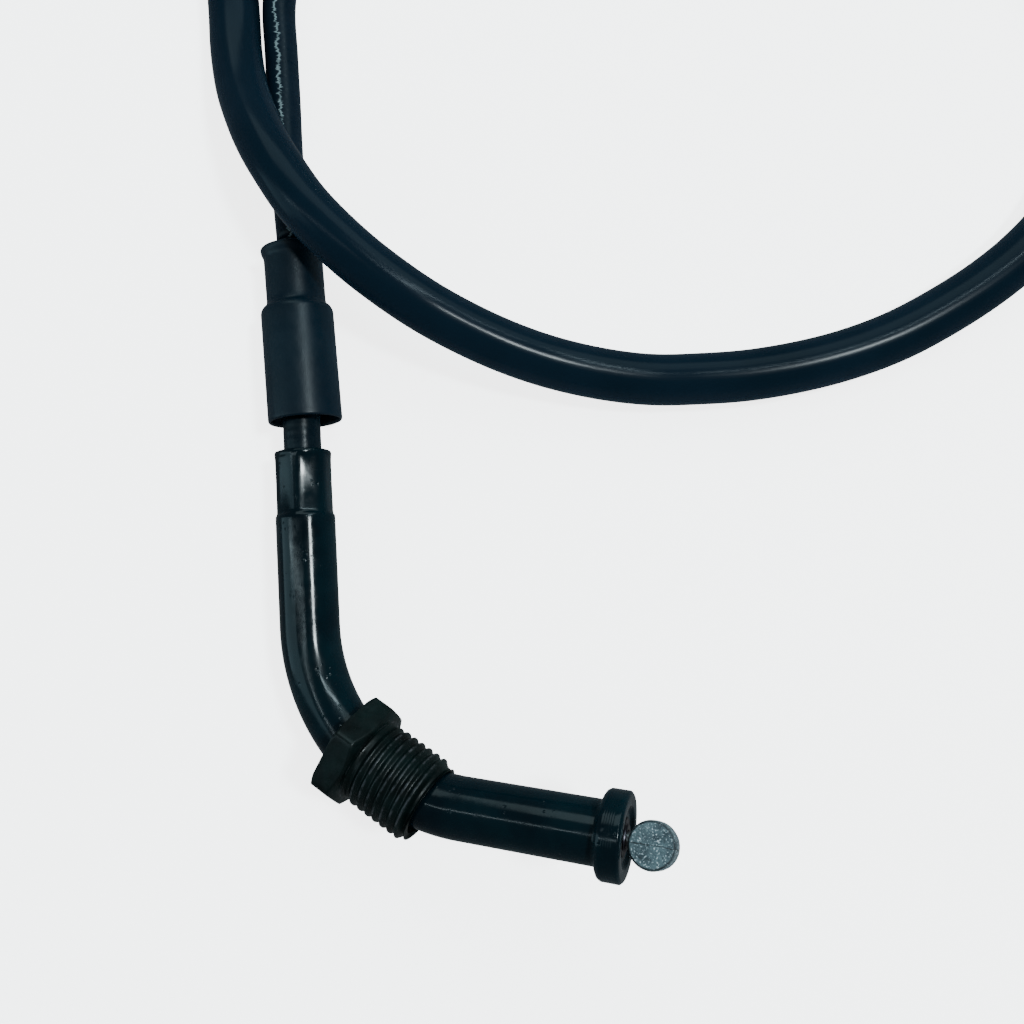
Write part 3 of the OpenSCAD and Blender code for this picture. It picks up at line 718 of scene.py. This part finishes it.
def make_boot():
    """Stepped boot leaning on the conduit, with a mould line down each side."""
    wide, neck = BOOT_D / 2, NECK_D / 2
    lip = neck + 0.4
    hollow, snug = PIPE_D / 2 + 0.65, CONDUIT_D / 2 + 0.6
    place = on_leg(REST_Y) @ turn("Z", ELBOW_ROLL) @ turn("Y", -BOOT_LEAN) @ shift(0, 0, -WIDE_LEN)
    outline = [
        (WIDE_LEN - 1.5, snug), (WIDE_LEN - 3.5, hollow), (0.3, hollow), (0, hollow + 0.12),
        (0, wide - 0.12), (0.25, wide), (1.2, wide - 0.01), (WIDE_LEN - 0.7, wide - 0.1),
        (WIDE_LEN - 0.15, wide - 0.35), (WIDE_LEN + 0.35, neck + 0.1), (WIDE_LEN + 1.0, neck),
        (BOOT_LEN - 1.5, neck), (BOOT_LEN - 0.75, neck + 0.32), (BOOT_LEN - 0.2, lip),
        (BOOT_LEN, lip - 0.25), (BOOT_LEN, snug + 0.3), (BOOT_LEN - 0.4, snug), (WIDE_LEN, snug),
    ]
    seam, rib_high, rib_wide, uneven = math.radians(8), 0.035, 0.22, 0.03

    def with_seam(z, r):
        if r < neck - 0.1:
            return r

        def radius(a):
            off = min(abs((a + p) % (2 * math.pi) - math.pi) for p in (seam, seam + math.pi))
            rib = rib_high * max(0, 1 - off * r / rib_wide)
            soft = uneven * noise.noise(Vector((math.cos(a) * 1.3, math.sin(a) * 1.3, z * 0.18)))
            return r + rib + soft - 0.02
        return radius

    rows = [(z, with_seam(z, r)) for z, r in rounded(outline, 0.35, 4)]
    return turned("boot_body", place, rows, 144, ends="joined")


def make_grip_nipple():
    """Die-cast barrel with pitted faces and rounded rims."""
    half, r, sides = NIPPLE_LEN / 2, NIPPLE_D / 2, 144
    coarse, face_pits, side_pits = 0.02, 0.028, 0.008
    rim = [(r - 0.4, half), (r - 0.3, half - 0.03), (r - 0.2, half - 0.1), (r - 0.1, half - 0.25),
           (r - 0.03, half - 0.5), (r, half - 0.8)]
    face = [0.01] + [(r - 0.4) * i / 30 for i in range(1, 30)]
    rows = [(q, half) for q in face] + rim + [(r, 0.0)]
    rows += [(q, -h) for q, h in reversed(rim)] + [(q, -half) for q in reversed(face)]
    rings = []
    for q, h in rows:
        ring = []
        on_face = q < r - 0.35
        for k in range(sides):
            a = 2 * math.pi * k / sides
            p = Vector((q * math.cos(a), q * math.sin(a), h))
            fine = face_pits if on_face else side_pits
            rough = noise.noise(p * 2.2) * coarse + noise.noise(p * 7) * fine
            out = Vector((math.cos(a), math.sin(a), 0))
            if on_face:
                out = Vector((0, 0, math.copysign(1, h)))
            ring.append(NIPPLE_PLACE @ (p + out * (rough - coarse)))
        rings.append(ring)
    return skin("nipple_cast", rings)


# ---- smaller pieces ----

def stranded(name, place, start, end, sides=42, wires=7, groove=0.10):
    """Cable laid up from round wires, which show as a long twist."""
    def radius(z):
        return lambda a: WIRE_D / 2 * (
            1 - groove + groove * abs(math.cos(wires / 2 * (a - z * WIRE_TWIST)))
        )
    count = round((end - start) / 0.25)
    heights = [start + (end - start) * i / count for i in range(count + 1)]
    return turned(name, place, [(z, radius(z)) for z in heights], sides)


def make_guide():
    """Flanged bush in the collar's hole, with the wire running out of it."""
    r, bore, start = GUIDE_D / 2, 0.95, COLLAR_LEN - 1
    flange, tip = start + GUIDE_FLANGE, start + GUIDE_LEN
    outline = [(start, bore), (start, r), (flange, r), (flange, WIRE_D), (tip, WIRE_D - 0.1)]
    outline += [(tip, bore), (start + 0.3, bore)]
    return turned("guide_bush", on_arm(ARM_LEN), rounded(outline, 0.12, 3), 64, ends="joined")


def make_shrink():
    """Shrink tube drawn down in faint rings where it leaves the crimp."""
    r, bore = SHRINK_D / 2, CONDUIT_D / 2 + 0.04
    start, end = LEG_LEN + 0.3, LEG_LEN + 0.3 + CRIMP_LEN + BOOT_GAP + 2
    uneven, count = 0.02, 90
    rows = [(start, bore), (start, r - uneven)]
    for i in range(1, count):
        y = start + (end - start) * i / count
        rows.append((y, r - uneven + uneven * noise.noise(Vector((0, 0, y * 1.7)))))
    rows += [(end, r - 0.05), (end, bore)]
    return turned("shrink_sleeve", on_leg(0), rows, 64, ends="joined")


def make_band(end):
    """Shrink band at one end of the sleeve, stepped down to the conduit."""
    place = Matrix.Translation(HOME + Vector(SLEEVE_ROUTE[end])) @ turn("X", BAND_TILT - 90)
    inner, mouth, wall = SLEEVE_D / 2 + 0.1, CONDUIT_D / 2 + 0.3, BAND_WALL
    outline = [(0.9, inner), (-BAND_LEN, inner), (-BAND_LEN, inner + wall), (0.8, inner + wall),
               (3.2, mouth + wall), (BAND_LEN, mouth + wall), (BAND_LEN, mouth), (0.9, mouth)]
    rows = []
    for z, r in rounded(outline, 0.9, 6):
        wrinkle = 0.03 * noise.noise(Vector((end, 0, z * 2))) if r > inner + 0.2 else 0
        rows.append((z, r + wrinkle))
    return turned(f"band_{abs(end)}", place, rows, 72, ends="joined")


def hex_rows(across, corner_cut, start, length, bore):
    """Rows of a hexagon chamfered at both ends, from its bore out and back to its bore."""
    corner, slope = across / math.sqrt(3), math.tan(math.radians(30))
    six = six_sided(across, 0, corner - 0.1, 0.15)

    def head(z):
        limit = corner - corner_cut + min(z, length - z) / slope
        return lambda a: soft_min(six(a), limit, 0.12)

    edge = [0, 0.06, 0.14, 0.25, 0.4, 0.6]
    zs = edge + [length / 2] + [length - e for e in reversed(edge)]
    return [(start, bore)] + [(start + z, head(z)) for z in zs] + [(start + length, bore)]


def make_adjuster():
    """Threaded tube with a hexagon at its root."""
    root, bore, end = ADJUSTER_D / 2 - ADJUSTER_RIDGE, WIRE_D / 2 + 0.2, ADJUSTER_LEN
    rows = hex_rows(ROOT_AF, 0.6, 0, ROOT_LEN, bore)[:-1]
    rows += [(ROOT_LEN, root + 0.3), (ROOT_LEN + 0.1, root)]
    rows += threaded_rows(
        lambda z: root, ADJUSTER_RIDGE, 0.09, ROOT_LEN + 0.6, end - 0.3, ADJUSTER_PITCH,
        0.42, 0.30, 0.8, 0.5,
    )
    rows += [(end, root - 0.4), (end, MOUTH_D / 2), (end - 1.2, MOUTH_D / 2)]
    return turned("adjuster", on_fitting(FERRULE_OUT), rows, 96, ends="joined")


def make_lock_nut(name, at):
    """Thin hexagon nut, chamfered on both faces."""
    rows = hex_rows(LOCK_AF, 0.8, 0, LOCK_LEN, ADJUSTER_D / 2 + 0.3)
    bore = ADJUSTER_D / 2 + 0.05
    rows += [(LOCK_LEN - 0.3, bore), (0.3, bore)]
    return turned(name, on_fitting(FERRULE_OUT + at), rows, 120, ends="joined")


def make_ferrule():
    """Pressed cap with a rolled groove and a crimped mouth."""
    r, deep, end, bore, hole = FERRULE_D / 2, FERRULE_DEPTH, FERRULE_LEN, CONDUIT_D / 2 + 0.2, 1.2
    outline = [(deep, bore), (0, bore), (0, r - 0.5), (0.4, r - 0.2), (3.4, r - 0.2), (3.8, r - 0.7),
               (4.6, r - 0.7), (5, r), (end - 0.4, r), (end, r - 0.4), (end, hole), (deep, hole)]
    return turned("ferrule", on_fitting(-deep), rounded(outline, 0.35, 5), 96, ends="joined")


def make_dust_seal():
    """Rubber plug in the adjuster's mouth, with a bellied lip that wipes the wire."""
    lip, plug_r, inside = WIRE_D / 2 + 0.12, 2.2, 1.4
    outline = [(1.0, lip), (0, lip), (0, plug_r), (1.5, plug_r), (1.5, 3.2), (2.0, 3.15), (2.4, 2.85),
               (2.8, 3.1), (3.1, 2.6), (3.5, 2.1), (4.2, 1.8), (5, lip + 0.4), (5, lip), (4, lip)]
    place = on_fitting(FERRULE_OUT + ADJUSTER_LEN - inside)
    return turned("seal", place, rounded(outline, 0.2, 4), 64, ends="joined")


def make_carb_nipple():
    """Cast barrel on the end of the wire, dished where the strand is soldered in."""
    r, length, dish = LEAD_D / 2, LEAD_LEN, 0.25
    outline = [(0, WIRE_D / 2), (0, r - 0.3), (0.3, r), (length - 0.3, r), (length, r - 0.3)]
    outline += [(length, 0.9), (length - dish, 0.5), (length - dish, 0.01)]
    place = on_fitting(FERRULE_OUT + ADJUSTER_LEN + BARE_WIRE)
    return turned("lead_nipple", place, rounded(outline, 0.15, 4), 64)


def strap_line(w, h, corner=0.9):
    """Points and outward directions round a tie's strap, a rectangle with round corners."""
    for sx, sy, start in ((1, 1, 0), (-1, 1, 90), (-1, -1, 180), (1, -1, 270)):
        middle = Vector((sx * (w / 2 - corner), sy * (h / 2 - corner)))
        for step in range(7):
            a = math.radians(start + 15 * step)
            out = Vector((math.cos(a), math.sin(a)))
            yield middle + corner * out, out


def make_tie(number, degrees):
    """Cable tie: a strap round both turns, its lock and its cut-off tail."""
    w, h, wall, half, edge = 2 * CONDUIT_D + 0.2, CONDUIT_D + 0.1, TIE_WALL, TIE_WIDTH / 2, 0.12
    place = (
        Matrix.Translation(HOME + Vector((COIL_AT.x, COIL_AT.y, COIL_Z)))
        @ turn("Z", degrees) @ shift((OUTER_TURN + INNER_TURN) / 2, 0, 0) @ turn("X", 90)
    )
    section = ((0.0, -half), (wall - edge, -half), (wall, -half + edge), (wall, half - edge),
               (wall - edge, half), (0.0, half))
    rings = [
        [place @ Vector((*(p + out * t), z)) for t, z in section] for p, out in strap_line(w, h)
    ]
    strap = skin(f"tie_strap_{number}", rings, ends="joined", smooth=False)
    rings = []
    for x, inset in ((0, 0.25), (0.2, 0), (2.3, 0), (2.6, 0.3)):
        y, z = 2 - inset, half + 0.6 - inset
        corners = ((-y, -z), (y, -z), (y, z), (-y, z))
        rings.append([place @ Vector((w / 2 + wall + x, q, t)) for q, t in corners])
    lock = skin(f"tie_lock_{number}", rings, smooth=False)
    corners = ((-0.4, -1.2), (0.4, -1.2), (0.4, 1.2), (-0.4, 1.2))
    rings = [
        [place @ Vector((w / 2 + wall + 1.3 + x, y, z)) for x, z in corners]
        for y in (-2.3, -1.9, 1.7, 2.25)
    ]
    tail = skin(f"tie_tail_{number}", rings, smooth=False)
    return strap, lock, tail


# ---- put every piece on its body ----

finish_piece(make_pipe(), PAINT, "cable", ["elbow_pipe"])
finish_piece(make_collar(), PAINT, "cable", ["pipe_collar"])
finish_piece(make_braze(), PAINT, "cable")
finish_piece(make_gland_nut(), NUT_PAINT, "gland", ["gland_nut"])
finish_piece(make_boot(), RUBBER, "boot", ["rubber_boot"])
finish_piece(make_grip_nipple(), CAST, "grip_end", ["grip_nipple"])
finish_piece(make_guide(), OILED, "cable", ["wire_guide"])
finish_piece(make_shrink(), JACKET_END, "cable", ["shrink_tube"])


def finish_on_cord(obj, material, body, nodes):
    """As finish_piece, for a piece that sits on the cord or at its far end."""
    finish_piece(obj, material, body, nodes)


for band_end in (0, -1):
    nodes = ["sleeve_bands"] if band_end == 0 else ()
    finish_on_cord(make_band(band_end), VINYL_END, "cable", nodes)
for count, at in enumerate(TIE_AT):
    for piece in make_tie(count, at):
        nodes = ["coil_ties"] if piece.name == "tie_strap_0" else ()
        finish_on_cord(piece, TIE, "cable", nodes)
finish_on_cord(make_ferrule(), PLATED, "cable", ["carb_ferrule"])
finish_on_cord(make_adjuster(), PLATED, "cable", ["adjuster_tube"])
finish_on_cord(make_dust_seal(), RUBBER, "cable", ["dust_seal"])
for side, at in zip(("rear", "front"), LOCK_AT):
    nut = make_lock_nut(f"{side}_nut", at)
    finish_on_cord(nut, PLATED, f"{side}_lock_nut", [f"lock_nut_{side}"])
finish_on_cord(make_carb_nipple(), ZINC, "carburettor_end", ["carb_nipple"])
carb_strand = stranded(
    "carb_strand", on_fitting(FERRULE_OUT), ADJUSTER_LEN - WIRE_BACK, ADJUSTER_LEN + BARE_WIRE + 1
)
finish_on_cord(carb_strand, WIRE, "carburettor_end", ["carb_wire"])
grip_strand = stranded("grip_strand", on_arm(0), 0.4, NIPPLE_S - NIPPLE_D / 2 + 1)
finish_piece(grip_strand, WIRE, "grip_end", ["grip_wire"])


# ---- light and floor ----

def area_light(name, at, size, power, colour):
    """A rectangular lamp aimed at the middle of the scene."""
    data = bpy.data.lights.new(name, "AREA")
    data.shape, data.size, data.size_y = "RECTANGLE", size[0], size[1]
    data.energy, data.color = power, colour
    lamp = bpy.data.objects.new(name, data)
    lamp.location = at
    lamp.rotation_euler = (-Vector(at)).to_track_quat("-Z", "Y").to_euler()
    bpy.context.scene.collection.objects.link(lamp)


def make_light():
    """A dim room, a broad soft box behind, and narrow lamps for the lines of light on the pipe."""
    world = bpy.data.worlds.new("studio")
    world.use_nodes = True
    background = world.node_tree.nodes["Background"]
    background.inputs["Color"].default_value = (0.88, 0.96, 1.0, 1)
    background.inputs["Strength"].default_value = 0.18
    bpy.context.scene.world = world
    area_light("back_box", (0.15, 0.95, 0.75), (1.4, 0.6), 8, (0.72, 0.97, 1.0))
    area_light("left_box", (-1.0, 0.0, 0.40), (0.4, 1.0), 3, (0.55, 0.88, 1.0))
    area_light("left_strip", (-0.50, 0.05, 0.80), (0.02, 0.9), 1.2, (0.75, 0.94, 1.0))
    area_light("right_strip", (0.40, 0.42, 0.85), (0.03, 0.5), 3, (0.72, 0.93, 1.0))
    area_light("lamp", (0.427, 0.07, 0.90), (0.12, 0.12), 9, (0.85, 0.97, 1.0))


FLOOR_GLOW, FLOOR_SIZE, FLOOR_DROP = 3.5, 12.0, 0.0001


def make_floor():
    """White light table under the cable, which its shiny parts don't mirror."""
    size = FLOOR_SIZE
    corners = [(-size, -size, 0), (size, -size, 0), (size, size, 0), (-size, size, 0)]
    mesh = bpy.data.meshes.new("floor")
    mesh.from_pydata(corners, [], [(0, 1, 2, 3)])
    floor = bpy.data.objects.new("floor", mesh)
    floor.location.z = -FLOOR_DROP
    floor.visible_glossy = False
    bpy.context.scene.collection.objects.link(floor)
    s = Shader("paper", (0.93, 0.93, 0.93), 0.9, Specular_IOR_Level=0.1)
    s.set("Base Color", s.tint(14, 3, 0.3, 0.7, (0.925, 0.93, 0.935), (0.935, 0.935, 0.935)))
    s.set("Emission Color", (1, 1, 1, 1))
    s.set("Emission Strength", FLOOR_GLOW)
    mesh.materials.append(s.material)


make_light()
make_floor()
